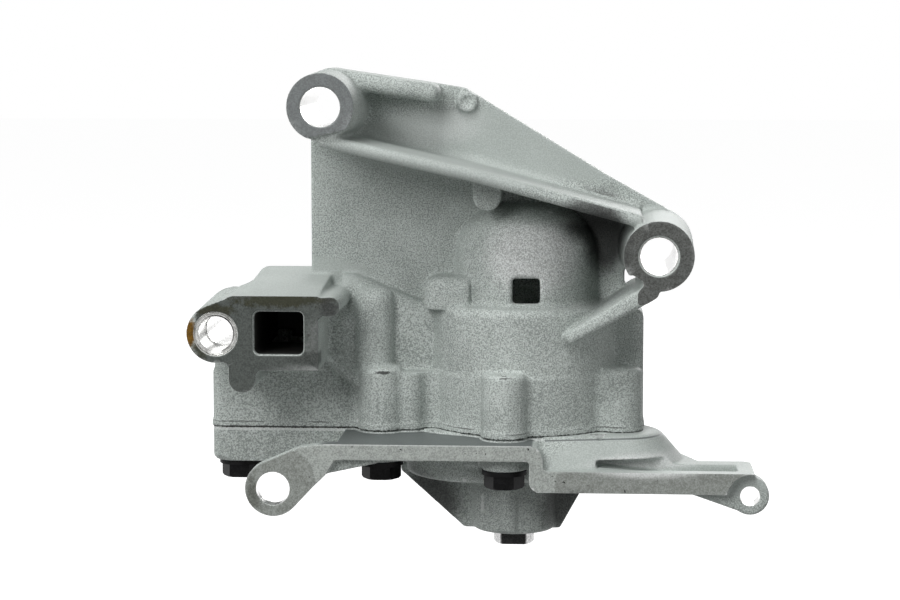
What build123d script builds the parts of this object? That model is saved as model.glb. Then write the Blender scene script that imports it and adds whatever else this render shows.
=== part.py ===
from build123d import *
import os
from math import acos, atan2, cos, pi, radians, sin, sqrt

# Engine oil pump with an internal trochoid gear set, in millimetres.
# The drive shaft turns about Z and its tang ends at Z = 0. The machined faces that meet the
# engine block look towards -Y, and X runs along the row of mounting lugs.

# Planes that the castings share
block_face_y = -38.0
lug_depth = 40.0
joint_z = 36.0
overrun = 2.0
bearing_gap = 0.04
seat_gap = 0.02

# Rotor set: six inner lobes in seven outer pockets
inner_lobe_count = 6
rotor_eccentricity = 2.6
lobe_circle_radius = 20.8
lobe_radius = 5.2
lobe_gap = 0.08
profile_density_share = 0.9
outer_rotor_radius = 23.4
pocket_root_gap = 0.1
pocket_corner_radius = 0.7
rotor_width = 16.0
rotor_end_gap = 0.04
rotor_side_gap = 0.08
rotor_edge_chamfer = 0.4

# Drive shaft, its driving pin and its ring
shaft_radius = 6.0
shaft_top_z = 69.0
tang_flats = 8.8
tang_length = 6.5
shaft_chamfer = 0.6
pin_radius = 2.0
pin_length = 20.0
pin_slot_gap = 0.05
ring_groove_depth = 0.7
ring_width = 1.0
ring_radial_height = 2.4
ring_mouth_degrees = 40.0

# Bearing bushes and the washer over the upper one
bush_wall = 1.5
upper_bush_length = 12.0
lower_bush_length = 20.0
lower_bush_inset = 1.0
washer_thickness = 1.0
washer_radius = 9.0

# Rotor barrel of the housing, with the dome over it
barrel_radius = 27.8
barrel_draft = 0.6
barrel_top_z = 72.0
barrel_edge_radius = 2.5
dome_x = 3.5
dome_shoulder = 6.6
dome_radius = barrel_radius - dome_shoulder
dome_height = 28.9
dome_top_z = barrel_top_z + dome_height
dome_flat_radius = 6.2
dome_round = dome_radius - dome_flat_radius
dome_wall = 4.0
dome_foot_radius = 2.0
hub_radius = 10.5
hub_top_z = 65.0
window_x = 3.9
window_width = 7.9
window_sill = 1.0
window_bottom_z = barrel_top_z + window_sill
window_height = 7.4
window_corner_radius = 0.8
window_bevel = 0.8

# Ports cut over the rotors
port_inner_radius = 13.2
port_outer_radius = 20.6
port_from_degrees = 18.0
port_to_degrees = 162.0
port_depth = 8.0

# Lugs that take the engine block's bolts, as X, Z, boss radius and bore radius
top_lug_x = -52.8
top_lug_z = 129.5
top_lug_radius = 9.4
top_lug_bore = 5.5
right_lug_x = 41.1
right_lug_z = 88.5
right_lug_radius = 9.8
right_lug_bore = 5.2
left_lug_x = -82.6
left_lug_z = 66.1
left_lug_radius = 8.2
left_lug_bore = 4.6
left_head_radius = 8.5
lug_draft = 1.2
right_lug_chamfer = 0.75
top_lug_chamfer = 0.3
left_lug_chamfer = 0.4
lug_step_shares = ((-0.045, 0.785), (0.11, 0.865), (0.11, 0.6), (-0.045, 0.6))
ring_dowel_radius = 6.1
ring_dowel_bore = 4.9
ring_dowel_length = 12.3
ring_dowel_seat = 12.5
ring_dowel_chamfer = 0.5

# Wall, arm and ribs between the lugs
wall_front_y = -4.0
wall_thickness = 6.0
wall_left_x = -59.5
wall_right_x = 32.1
wall_bottom_z = 60.0
arm_ridge_shares = ((0.296, 1.1585), (0.409, 1.1146), (0.857, 0.49))
lip_front_y = -36.5
lip_thickness = 3.8
lip_line_shares = ((-0.01, 0.775), (0.46, 0.534), (0.951, 0.227))
lip_bead_radius = 1.7
cove_radius = 2.4
bar_front_y = -17.0
bar_thickness = 5.2
bar_end_share = (0.31, 1.085)
bar_bead_radius = 2.3
eject_pad_share = (0.4164, 1.017)
eject_pad_radius = 3.0
eject_pad_height = 1.6
eject_pad_dish = 0.5
strut_root_x = 38.9
strut_root_z = 78.7
strut_root_radius = 2.4
strut_face_x = 35.6
strut_end_x = 16.8
strut_end_y = -28.0
strut_end_z = 64.2
strut_end_radius = 1.75
strut_edge_radius = 1.4
eye_shares = ((-1.02, -0.36), (-0.35, -0.76), (-0.7, -1.1))
eye_corner_radius = 1.2
nub_x = -7.2
nub_z = 103.8
nub_radius = 4.0
nub_height = 5.4
nub_front_y = -22.0

# Middle body with the relief valve's column
middle_left_x = -50.0
middle_right_x = -16.0
middle_front_y = -9.5
middle_back_y = 15.0
middle_top_left_z = 80.2
middle_top_right_z = 71.5
middle_slope_left_x = -46.5
middle_slope_right_x = -24.5
middle_edge_radius = 3.5
column_x = -40.5
column_y = -9.9
column_radius = 5.7
column_top_z = 77.0
column_round = 4.0
ledge_left_x = -25.7
ledge_right_x = -12.5
ledge_front_y = -16.5
ledge_bottom_z = 70.8
ledge_top_z = 80.2
ledge_round = 3.8

# Left body and the outlet block in front of it
left_body_x = -87.8
left_body_front_y = -13.5
left_body_back_y = 17.0
left_body_top_z = 72.0
left_body_corner = 6.5
left_body_edge_radius = 5.0
outlet_left_x = -79.0
outlet_right_x = -53.6
outlet_bottom_z = 55.8
outlet_top_z = 76.8
outlet_back_y = 10.0
outlet_corner_radius = 1.7
outlet_lobe_radius = 2.85
outlet_lobe_rise = 2.9
outlet_lobe_reach = 3.2
outlet_foot_share = 0.15
outlet_foot_radius = 3.9
outlet_foot_drop = 2.4
outlet_blend_radius = 1.6
outlet_crown_rise = 4.2
outlet_port_x = -64.8
outlet_port_z = 66.4
outlet_port_width = 13.8
outlet_port_height = 12.0
outlet_port_corner = 1.4
outlet_port_bevel = 0.5
outlet_port_back_y = 8.0
corner_rib_width = 2.2
corner_rib_radius = 1.1

# Slab behind the right bolt boss
slab_right_x = 37.8
slab_front_y = -6.5
slab_back_y = 12.0
slab_top_z = 70.6
slab_corner = 3.0

# Bolt bosses on the joint, front row then back row, as X, Y and boss radius
bolt_places = {
    "left": (-80.3, -6.2),
    "middle": (-38.2, -14.0),
    "front": (-1.9, -27.6),
    "right": (31.0, -12.6),
    "back_left": (-79.5, 9.0),
    "back_middle": (-36.0, 16.0),
    "back": (2.7, 29.5),
    "back_right": (30.5, 15.0),
}
boss_radius = 6.4
boss_top_z = 54.2
boss_round = 1.6
boss_vent_radius = 0.9
boss_vent_depth = 1.5
boss_vent_shift = 3.9
boss_blend_radius = 3.0
web_x = -30.2
web_y = -12.6
web_radius = 4.6
joint_bead_height = 1.6
joint_bead_proud = 0.35

# Cover bolts, flanged, and the cover's locating dowels
bolt_radius = 3.0
bolt_hole_gap = 0.3
bolt_thread_gap = 0.02
bolt_length = 22.0
bolt_tip_room = 2.0
bolt_flange_radius = 6.4
bolt_flange_thickness = 1.3
bolt_hex_across = 10.0
bolt_head_height = 5.2
bolt_head_chamfer = 0.5
cover_dowel_radius = 3.0
cover_dowel_length = 10.0
cover_dowel_places = ((-62.0, 13.0), (31.0, -1.5))

# Outlet channel, open at the joint and closed by the cover
channel_wall = 4.2
channel_top_z = 62.0
channel_left_x = -71.5
channel_right_x = -31.0
channel_corner = 3.4
link_front_y = 2.5
link_back_y = 11.0

# Relief valve in the left body, closed by a plug in the cover
relief_x = -54.0
relief_y = 4.0
relief_bore = 5.0
relief_post_wall = 3.0
relief_seat_z = 57.0
relief_throat_radius = 3.8
relief_throat_top_z = 64.0
relief_drain_radius = 2.2
relief_drain_z = 54.0
piston_gap = 0.03
piston_length = 10.5
piston_wall = 1.4
piston_crown = 2.5
plug_radius = 7.0
plug_head_radius = 8.6
plug_head_height = 2.0
plug_socket_across = 6.0
plug_socket_depth = 4.5
plug_washer_thickness = 1.0
spring_mean_radius = 2.5
spring_wire_radius = 0.5
spring_turns = 5
spring_slack = 0.3
spring_seat_thickness = 1.6
spring_seat_spigot_radius = 1.7
spring_seat_spigot_height = 2.0

# Suction flange on the back
inlet_x = 3.5
inlet_z = 86.5
inlet_bore = 9.5
inlet_boss_radius = 14.0
inlet_face_y = 34.0
inlet_bolt_spacing = 40.0
inlet_ear_radius = 6.5
inlet_flange_thickness = 9.0
inlet_thread_radius = 3.0
inlet_thread_depth = 12.0
seal_mean_radius = 11.4
seal_section_radius = 0.9
seal_groove_width = 2.2
seal_groove_depth = 1.5

# Cover plate, belly and bearing boss
cover_thickness = 10.4
cover_bolt_seat_z = 26.7
belly_left_x = -9.0
belly_left_radius = 22.8
belly_right_x = 2.7
belly_right_radius = 21.6
belly_bottom_z = 21.4
belly_edge_radius = 1.5
neck_radius = 12.6
neck_bottom_z = 3.9
neck_chamfer = 1.2
neck_seat_radius = 8.6
neck_seat_height = 0.5
gusset_thickness = 3.2
gusset_left_top_x = -33.5
gusset_left_bottom_x = -14.6
gusset_right_top_x = 23.0
gusset_right_bottom_x = 13.6
gusset_bottom_z = 4.4
neck_rib_x = -0.9
neck_rib_radius = 2.5
neck_rib_proud = 1.8

# Front tray of the cover, its step, its right arm and its two ears
tray_top_z = 35.2
tray_thickness = 4.5
tray_left_x = -49.0
tray_step_x = 9.2
tray_step_width = 7.6
tray_low_top_z = 27.9
tray_low_thickness = 6.0
step_top_radius = 4.2
step_foot_radius = 1.6
step_bottom_radius = 3.0
step_inner_radius = 1.0
tray_back_y = -8.0
tray_rim_y = -33.5
arm_end_x = 68.4
arm_back_y = -17.2
arm_end_radius = 4.5
arm_rib_thickness = 2.6
arm_hollow_length = 16.0
groove_left_x = 24.0
groove_right_x = 63.6
groove_front_y = -33.2
groove_back_y = -23.5
groove_depth = 4.2
skirt_rim = 1.6
skirt_right_x = 31.0
skirt_right_y = -12.6
skirt_right_radius = 11.5
skirt_spread = 7.0
skirt_edge_radius = 3.0
skirt_back_y = 0.5
skirt_tail_x = 47.0
skirt_tip_x = 53.6
notch_x = 25.3
notch_y = -22.6
notch_size = 4.0
notch_depth = 4.6
big_ear_x = -66.8
big_ear_z = 22.3
big_ear_radius = 7.9
big_ear_bore = 4.75
big_ear_thickness = 5.0
big_ear_upper_shares = ((0.433, 0.922), (0.75, 0.985))
big_ear_lower_shares = ((0.978, 0.628), (0.831, 0.302), (0.64, 0.047), (0.326, -0.419))
big_ear_shoulder_degrees = 107.0
big_ear_heel_degrees = -48.0
ear_web_thickness = 3.0
small_ear_x = 67.2
small_ear_z = 21.0
small_ear_y = -34.5
small_ear_radius = 5.4
small_ear_bore = 2.75
small_ear_thickness = 6.5
small_ear_root_x = 49.0
small_ear_relief_radius = 6.6

# Core plug in the left body
core_plug_radius = 4.5
core_plug_length = 4.0
core_plug_wall = 1.2
core_plug_x = -70.0
core_plug_z = 50.0


def along_y(sketch, front_y, back_y):
    """Solid between two Y planes from a sketch drawn in X and Z."""
    return extrude(Plane.XZ.offset(-back_y) * sketch, amount=back_y - front_y)


def along_z(sketch, bottom_z, top_z):
    """Solid between two Z planes from a sketch drawn in X and Y."""
    return extrude(Pos(0, 0, bottom_z) * sketch, amount=top_z - bottom_z)


def disc(x, y, radius):
    """Circle at a place of the sketch plane."""
    return Pos(x, y) * Circle(radius)


def block(low_x, high_x, low_y, high_y):
    """Upright rectangle between four limits."""
    return Pos((low_x + high_x) / 2, (low_y + high_y) / 2) * Rectangle(high_x - low_x, high_y - low_y)


def polygon(points):
    """Face with the given corners."""
    return make_face(Polyline(*points, close=True))


def strap(x0, y0, radius0, x1, y1, radius1):
    """Band that wraps two discs: two tangent lines joined by an arc round each disc."""
    way = atan2(y1 - y0, x1 - x0)
    lean = acos((radius0 - radius1) / sqrt((x1 - x0) ** 2 + (y1 - y0) ** 2))

    def near(angle):
        return (x0 + radius0 * cos(angle), y0 + radius0 * sin(angle))

    def far(angle):
        return (x1 + radius1 * cos(angle), y1 + radius1 * sin(angle))

    return make_face([
        Line(near(way + lean), far(way + lean)), ThreePointArc(far(way + lean), far(way), far(way - lean)),
        Line(far(way - lean), near(way - lean)), ThreePointArc(near(way - lean), near(way + pi), near(way + lean)),
    ])


def rod(x, y, radius, bottom_z, top_z):
    """Upright cylinder."""
    return along_z(disc(x, y, radius), bottom_z, top_z)


def pipe(x, z, radius, front_y, back_y):
    """Cylinder that lies along Y."""
    return along_y(disc(x, z, radius), front_y, back_y)


def blended(sketch, radius):
    """Sketch whose inner and outer corners are rounded by one radius."""
    grown = offset(offset(sketch, radius), -radius)
    return offset(offset(grown, -radius), radius)


def mouth(x, z, radius, bevel):
    """Conical bevel cut at a bore's mouth in the block face."""
    cone = Cone(radius + bevel + overrun, radius, bevel + overrun)
    return Pos(x, block_face_y + (bevel - overrun) / 2, z) * Rot(-90, 0, 0) * cone


def lug_barrel(x, z, radius):
    """Mounting barrel that widens towards the back like a drawn casting."""
    low = Plane.XZ.offset(-block_face_y) * disc(x, z, radius)
    high = Plane.XZ.offset(-block_face_y - lug_depth) * disc(x, z, radius + lug_draft)
    return loft([low, high])


def joint_outline():
    """Plan outline that housing and cover share at their joint."""
    outline = disc(rotor_eccentricity, 0, barrel_radius)
    outline += block(left_body_x, middle_right_x, left_body_front_y, left_body_back_y)
    outline += block(middle_left_x, middle_right_x, middle_front_y, middle_back_y)
    outline += block(rotor_eccentricity, slab_right_x, slab_front_y, slab_back_y)
    for x, y in bolt_places.values():
        outline += disc(x, y, boss_radius)
    return outline + disc(web_x, web_y, web_radius)


def outlet_outline():
    """Machined face of the outlet: the port's field, the left lug, a top lobe and a foot."""
    middle_z = (outlet_bottom_z + outlet_top_z) / 2
    foot_x = outlet_left_x + outlet_foot_share * (outlet_right_x - outlet_left_x)
    foot_z = outlet_bottom_z - outlet_foot_drop
    lobe_z = outlet_top_z - outlet_lobe_rise
    lobe_x = outlet_right_x + outlet_lobe_reach
    outline = block(outlet_left_x, outlet_right_x, outlet_bottom_z, outlet_top_z)
    outline += disc(left_lug_x, left_lug_z, left_lug_radius)
    outline += strap(left_lug_x, left_lug_z, left_lug_radius, outlet_left_x + outlet_corner_radius,
                     outlet_top_z - outlet_corner_radius, outlet_corner_radius)
    outline += strap(outlet_right_x - outlet_lobe_radius, lobe_z, outlet_lobe_radius - outlet_lobe_reach / 4,
                     lobe_x, lobe_z, outlet_lobe_radius)
    outline += strap(foot_x, foot_z, outlet_foot_radius, foot_x, middle_z, outlet_foot_radius)
    return outline


def lug_to_lug(share_x, share_z):
    """Point of the arm, as shares of the spans between the top lug and the right lug."""
    return (top_lug_x + share_x * (right_lug_x - top_lug_x),
            right_lug_z + share_z * (top_lug_z - right_lug_z))


def arm_wall():
    """Rear wall with the arm that carries the top and right lugs, its deep lip and its top bar."""
    ridge = [lug_to_lug(*share) for share in arm_ridge_shares]
    slope = atan2(ridge[1][0] - ridge[2][0], ridge[2][1] - ridge[1][1])
    right_back_radius = right_lug_radius + lug_draft
    top_back_radius = top_lug_radius + lug_draft
    shoulder = (right_lug_x - right_back_radius * sin(slope + pi / 2),
                right_lug_z + right_back_radius * cos(slope + pi / 2))
    outline = polygon([
        (wall_left_x, wall_bottom_z), (wall_left_x, top_lug_z), (top_lug_x, top_lug_z + top_back_radius),
        *ridge, shoulder, (right_lug_x, right_lug_z), (wall_right_x, right_lug_z),
        (wall_right_x, wall_bottom_z),
    ])
    return along_y(outline, wall_front_y, wall_front_y + wall_thickness)


def arm_lip():
    """Deep shelf under the arm: it bends slightly at its middle and has a rounded front bead."""
    line = [lug_to_lug(*share) for share in lip_line_shares]
    half = lip_thickness / 2
    outline = polygon([(x, z + half) for x, z in line] + [(x, z - half) for x, z in reversed(line)])
    lip = along_y(outline, lip_front_y, wall_front_y + wall_thickness / 2)
    bead = [edge for edge in lip.faces().sort_by(Axis.Y)[0].edges() if edge.length > lug_depth]
    return fillet(bead, lip_bead_radius)


def near_lip(point):
    """Whether a point of the wall lies along the lip."""
    (x0, z0), (x1, z1) = lug_to_lug(*lip_line_shares[0]), lug_to_lug(*lip_line_shares[-1])
    line_z = z0 + (z1 - z0) * (point.X - x0) / (x1 - x0)
    return abs(point.Z - line_z) < lip_thickness


def arm_bar():
    """Shorter shelf along the arm's top edge, next to the top lug."""
    end_x, end_z = lug_to_lug(*bar_end_share)
    start_z = top_lug_z + top_lug_radius + lug_draft - bar_thickness / 2
    bar = strap(top_lug_x, start_z, bar_thickness / 2, end_x, end_z, bar_thickness / 2)
    bar = along_y(bar, bar_front_y, wall_front_y + wall_thickness / 2)
    return fillet(bar.faces().sort_by(Axis.Y)[0].edges(), bar_bead_radius)


def eject_pad():
    """Round ejector mark on the arm, with a dished top."""
    x, z = lug_to_lug(*eject_pad_share)
    pad_front = wall_front_y - eject_pad_height
    pad = pipe(x, z, eject_pad_radius, pad_front, wall_front_y + wall_thickness / 2)
    pad = fillet(pad.faces().sort_by(Axis.Y)[0].edges(), eject_pad_dish)
    return pad - pipe(x, z, eject_pad_radius - 2 * eject_pad_dish, pad_front - overrun, pad_front + eject_pad_dish)


def strut():
    """Diagonal rib from the right lug down to the rotor barrel; its rounded front edge slopes back."""
    left = strut_end_x - 2 * strut_end_radius
    right = strut_root_x + 2 * strut_root_radius
    slope = (block_face_y - strut_end_y) / (strut_face_x - strut_end_x)
    back_y = wall_front_y + wall_thickness
    body = along_y(strap(strut_root_x, strut_root_z, strut_root_radius, strut_end_x, strut_end_z,
                         strut_end_radius), block_face_y - lug_depth, back_y)
    plan = polygon([
        (right, strut_end_y + slope * (right - strut_end_x)), (left, strut_end_y + slope * (left - strut_end_x)),
        (left, back_y), (right, back_y),
    ])
    body &= along_z(plan, barrel_top_z - lug_depth, right_lug_z)
    body = fillet(body.faces().sort_by(Axis.Y)[0].edges(), strut_edge_radius)
    return body & along_y(block(left, right, joint_z, right_lug_z), block_face_y, back_y)


def eye():
    """Rounded three-cornered hole between the wall's edge, the right lug and the strut."""
    hole = polygon([(right_lug_x + share_x * right_lug_radius, right_lug_z + share_z * right_lug_radius)
                    for share_x, share_z in eye_shares])
    return along_y(fillet(hole.vertices(), eye_corner_radius), block_face_y - overrun,
                   block_face_y + lug_depth + overrun)


def nub():
    """Rounded bracket that hangs under the lip in front of the wall."""
    outline = disc(nub_x, nub_z, nub_radius) + block(nub_x - nub_radius, nub_x + nub_radius,
                                                     nub_z, nub_z + nub_height)
    return along_y(outline, nub_front_y, wall_front_y)


def domed(radius, bottom_z, top_z, round_radius):
    """Upright cylinder on the dome's axis with a large round at its top."""
    body = rod(dome_x, 0, radius, bottom_z, top_z)
    return fillet(body.edges().group_by(Axis.Z)[-1], round_radius)


def rotor_barrel():
    """Drafted barrel over the rotors with the dome on its shoulder."""
    height = barrel_top_z - joint_z
    barrel = Pos(rotor_eccentricity, 0, joint_z + height / 2) * Cone(
        barrel_radius, barrel_radius - barrel_draft, height)
    barrel = fillet(barrel.edges().group_by(Axis.Z)[-1], barrel_edge_radius)
    whole = barrel + domed(dome_radius, barrel_top_z - overrun, dome_top_z, dome_round)
    foot = [edge for edge in whole.edges().filter_by(GeomType.CIRCLE)
            if abs(edge.center().Z - barrel_top_z) < seat_gap and abs(edge.radius - dome_radius) < seat_gap]
    return fillet(foot, dome_foot_radius)


def middle_body():
    """Body between the rotor barrel and the outlet block, with the relief valve's column."""
    front = polygon([
        (middle_left_x, joint_z), (middle_right_x, joint_z), (middle_right_x, middle_top_right_z),
        (middle_slope_right_x, middle_top_right_z), (middle_slope_left_x, middle_top_left_z),
        (middle_left_x, middle_top_left_z),
    ])
    body = along_y(front, middle_front_y, middle_back_y)
    crest = [edge for edge in body.faces().sort_by(Axis.Y)[0].edges()
             if edge.center().Z > middle_top_right_z - overrun and abs(edge.tangent_at(0.5).X) > 0.5]
    body = fillet(crest, middle_edge_radius)
    column = rod(column_x, column_y, column_radius, joint_z, column_top_z)
    column = fillet(column.edges().group_by(Axis.Z)[-1], column_round)
    ledge = along_z(block(ledge_left_x, ledge_right_x, ledge_front_y, wall_front_y),
                    ledge_bottom_z, ledge_top_z)
    ledge = fillet(ledge.edges().filter_by(lambda edge: edge.center().Z > ledge_bottom_z + seat_gap
                                           and edge.center().X < ledge_right_x - seat_gap
                                           and edge.center().Y < wall_front_y - seat_gap), ledge_round)
    return body + column + ledge


def left_body():
    """Left end over the outlet channel."""
    plan = blended(block(left_body_x, middle_left_x + left_body_corner, left_body_front_y, left_body_back_y),
                   left_body_corner)
    body = along_z(plan, joint_z, left_body_top_z)
    return fillet(body.edges().group_by(Axis.Z)[-1], left_body_edge_radius)


def outlet_block():
    """Outlet block in front of the left body, with a top that rises towards the wall."""
    body = along_y(blended(outlet_outline(), outlet_blend_radius), block_face_y, outlet_back_y)
    left_x = outlet_left_x + outlet_corner_radius
    low = block(left_x, outlet_right_x, outlet_bottom_z, outlet_top_z)
    high = block(left_x, outlet_right_x, outlet_bottom_z, outlet_top_z + outlet_crown_rise)
    crown = loft([Plane.XZ.offset(-block_face_y) * low, Plane.XZ.offset(-outlet_back_y) * high])
    shoulder = [edge for edge in crown.edges() if edge.center().X < left_x + seat_gap
                and edge.center().Z > outlet_top_z + seat_gap]
    return body + fillet(shoulder, outlet_foot_radius)


def corner_rib():
    """Thin rib from the outlet block's lower corner to the middle bolt boss."""
    x, y = bolt_places["middle"]
    rib = strap(outlet_right_x, outlet_bottom_z + corner_rib_radius, corner_rib_radius,
                x - boss_radius, boss_top_z - boss_radius + corner_rib_radius, corner_rib_radius)
    return along_y(rib, left_body_front_y - corner_rib_width, middle_front_y + corner_rib_width)


def bolt_bosses():
    """Foot of the housing with a bead at the joint and a rounded boss over every cover bolt."""
    plan = blended(joint_outline(), boss_blend_radius)
    foot = along_z(plan, joint_z, boss_top_z - boss_round)
    foot += along_z(offset(plan, joint_bead_proud), joint_z, joint_z + joint_bead_height)
    for x, y in bolt_places.values():
        boss = rod(x, y, boss_radius, joint_z, boss_top_z)
        foot += fillet(boss.edges().group_by(Axis.Z)[-1], boss_round)
    return foot


def slab():
    """Flat wall behind the right bolt boss."""
    body = along_z(block(rotor_eccentricity, slab_right_x, slab_front_y, slab_back_y), joint_z, slab_top_z)
    return fillet(body.edges().filter_by(lambda edge: edge.center().X > slab_right_x - seat_gap
                                         and edge.center().Z > joint_z + seat_gap), slab_corner)


def inlet_flange():
    """Suction flange on the back of the dome."""
    ear_step = inlet_bolt_spacing / 2
    plan = strap(inlet_x - ear_step, inlet_z, inlet_ear_radius, inlet_x + ear_step, inlet_z, inlet_ear_radius)
    plan += disc(inlet_x, inlet_z, inlet_boss_radius)
    flange = along_y(blended(plan, boss_blend_radius), inlet_face_y - inlet_flange_thickness, inlet_face_y)
    neck = pipe(inlet_x, inlet_z, inlet_boss_radius, wall_front_y, inlet_face_y)
    return flange + neck


def port_over_rotors(front, top_z):
    """Curved port in the roof of the rotor chamber, in the front or the back half."""
    ring = disc(rotor_eccentricity / 2, 0, port_outer_radius) - disc(rotor_eccentricity / 2, 0, port_inner_radius)
    reach = port_outer_radius + overrun
    side = -1 if front else 1
    angles = [port_from_degrees + share * (port_to_degrees - port_from_degrees) for share in (0, 1 / 3, 2 / 3, 1)]
    edges = [(rotor_eccentricity / 2 + reach * cos(radians(angle)), side * reach * sin(radians(angle)))
             for angle in angles]
    wide = [(rotor_eccentricity / 2 + 2 * (x - rotor_eccentricity / 2), 2 * y) for x, y in edges]
    sector = polygon([(rotor_eccentricity / 2, 0), *wide])
    return along_z(ring & sector, joint_z + rotor_width - overrun, top_z)


def outlet_channel():
    """Open channel under the left body, clear of the bolts and of the relief valve's column."""
    back_y = left_body_back_y - channel_wall
    bend_x = column_x - column_radius
    plan = block(channel_left_x, bend_x, left_body_front_y + channel_wall, back_y)
    plan += block(bend_x, channel_right_x, middle_front_y + channel_wall, back_y)
    posts = [*bolt_places.values(), *cover_dowel_places]
    for x, y in posts:
        plan -= disc(x, y, boss_radius)
    plan -= disc(column_x, column_y, column_radius)
    plan -= disc(relief_x, relief_y, relief_bore + relief_post_wall)
    plan = offset(offset(plan, -channel_corner / 2), channel_corner / 2)
    return along_z(plan, joint_z - overrun, channel_top_z)


def make_housing():
    """Die-cast housing with lugs, arm, dome, outlet block and all its passages."""
    frame = arm_wall() + arm_lip()
    roots = [edge for edge in frame.edges() if abs(edge.center().Y - wall_front_y) < seat_gap
             and edge.length > lug_depth and near_lip(edge.center())]
    frame = fillet(roots, cove_radius) + arm_bar()
    body = frame + rotor_barrel() + middle_body() + left_body() + outlet_block() + slab() + bolt_bosses()
    body += strut() + corner_rib() + eject_pad() + inlet_flange() + nub()
    for x, z, radius in ((top_lug_x, top_lug_z, top_lug_radius), (right_lug_x, right_lug_z, right_lug_radius),
                         (left_lug_x, left_lug_z, left_lug_radius)):
        body += lug_barrel(x, z, radius)

    # Lug bores and the seats of the ring dowels
    back_y = block_face_y + lug_depth + overrun
    body -= pipe(top_lug_x, top_lug_z, top_lug_bore, block_face_y - overrun, inlet_face_y)
    body -= pipe(right_lug_x, right_lug_z, right_lug_bore, block_face_y - overrun, back_y)
    body -= pipe(left_lug_x, left_lug_z, left_lug_bore, block_face_y - overrun, left_body_back_y + overrun)
    body -= pipe(left_lug_x, left_lug_z, ring_dowel_radius + seat_gap, block_face_y - overrun,
                 block_face_y + ring_dowel_seat)
    body -= pipe(left_lug_x, left_lug_z, left_head_radius, block_face_y + lug_depth, left_body_back_y + overrun)
    body -= mouth(right_lug_x, right_lug_z, right_lug_bore, right_lug_chamfer)
    body -= mouth(top_lug_x, top_lug_z, top_lug_bore, top_lug_chamfer)
    body -= mouth(left_lug_x, left_lug_z, ring_dowel_radius + seat_gap, left_lug_chamfer)
    step = polygon([lug_to_lug(*share) for share in lug_step_shares])
    body -= along_y(step, block_face_y - overrun, lip_front_y) + eye()

    # Rotor chamber, ports, suction chamber and hub for the upper bush
    chamber_radius = outer_rotor_radius + rotor_side_gap
    roof_z = joint_z + rotor_width + 2 * rotor_end_gap
    body -= rod(rotor_eccentricity, 0, chamber_radius, joint_z - overrun, roof_z)
    suction = domed(dome_radius - dome_wall, roof_z + port_depth, dome_top_z - dome_wall, dome_round - dome_wall)
    suction -= rod(0, 0, hub_radius, roof_z, hub_top_z)
    suction -= along_z(block(-dome_radius, 2 * dome_radius, 0, 2 * dome_radius), roof_z, hub_top_z)
    body -= suction
    body -= port_over_rotors(True, roof_z + port_depth + overrun)
    body -= port_over_rotors(False, roof_z + port_depth)
    body -= rod(0, 0, shaft_radius + bush_wall, roof_z - overrun, hub_top_z + overrun)

    # Outlet channel, its link over the rotors and the outlet port
    body -= outlet_channel()
    body -= along_z(block(channel_right_x - overrun, rotor_eccentricity - port_inner_radius,
                          link_front_y, link_back_y), roof_z, roof_z + port_depth)
    port = RectangleRounded(outlet_port_width, outlet_port_height, outlet_port_corner)
    body -= along_y(Pos(outlet_port_x, outlet_port_z) * port, block_face_y - overrun, outlet_port_back_y)
    wide_port = RectangleRounded(outlet_port_width + 2 * outlet_port_bevel,
                                 outlet_port_height + 2 * outlet_port_bevel,
                                 outlet_port_corner + outlet_port_bevel)
    front = Plane.XZ.offset(-block_face_y) * Pos(outlet_port_x, outlet_port_z) * wide_port
    inner = Plane.XZ.offset(-block_face_y - outlet_port_bevel) * Pos(outlet_port_x, outlet_port_z) * port
    body -= loft([front, inner])
    body -= pipe(core_plug_x, core_plug_z, core_plug_radius + seat_gap,
                 left_body_back_y - channel_wall - overrun, left_body_back_y + overrun)

    # Relief valve: bore from the joint, throat into the channel and drain through the back wall
    body -= rod(relief_x, relief_y, relief_bore, joint_z - overrun, relief_seat_z)
    body -= rod(relief_x, relief_y, relief_throat_radius, relief_seat_z - overrun, relief_throat_top_z)
    throat = block(relief_x - relief_bore - relief_post_wall - overrun, relief_x,
                   relief_y - relief_throat_radius, relief_y + relief_throat_radius)
    body -= along_z(throat, relief_seat_z + overrun, relief_throat_top_z)
    body -= pipe(relief_x, relief_drain_z, relief_drain_radius, relief_y, left_body_back_y + overrun)

    # Bolt threads, dowel holes, window and suction inlet
    for x, y in bolt_places.values():
        body -= rod(x, y, bolt_radius + bolt_thread_gap, joint_z - overrun, bolt_tip_z + bolt_tip_room)
    for name in ("middle", "front", "right"):
        x, y = bolt_places[name]
        body -= rod(x, y - boss_vent_shift, boss_vent_radius, boss_top_z - boss_vent_depth, boss_top_z + overrun)
    for x, y in cover_dowel_places:
        body -= rod(x, y, cover_dowel_radius, joint_z - overrun, joint_z + cover_dowel_length / 2 + seat_gap)
    window = Pos(window_x, window_bottom_z + window_height / 2) * RectangleRounded(
        window_width, window_height, window_corner_radius)
    body -= along_y(window, -barrel_radius, -dome_radius / 2)
    recess = Pos(window_x, window_bottom_z + (window_height + window_bevel) / 2) * RectangleRounded(
        window_width + 2 * window_bevel, window_height + window_bevel, window_corner_radius)
    body -= along_y(recess, -barrel_radius, window_bevel - dome_radius)
    body -= pipe(inlet_x, inlet_z, inlet_bore, 0, inlet_face_y + overrun)
    groove = disc(inlet_x, inlet_z, seal_mean_radius + seal_groove_width / 2)
    groove -= disc(inlet_x, inlet_z, seal_mean_radius - seal_groove_width / 2)
    body -= along_y(groove, inlet_face_y - seal_groove_depth, inlet_face_y + overrun)
    for side in (-1, 1):
        body -= pipe(inlet_x + side * inlet_bolt_spacing / 2, inlet_z, inlet_thread_radius,
                     inlet_face_y - inlet_thread_depth, inlet_face_y + overrun)
    return body


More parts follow.
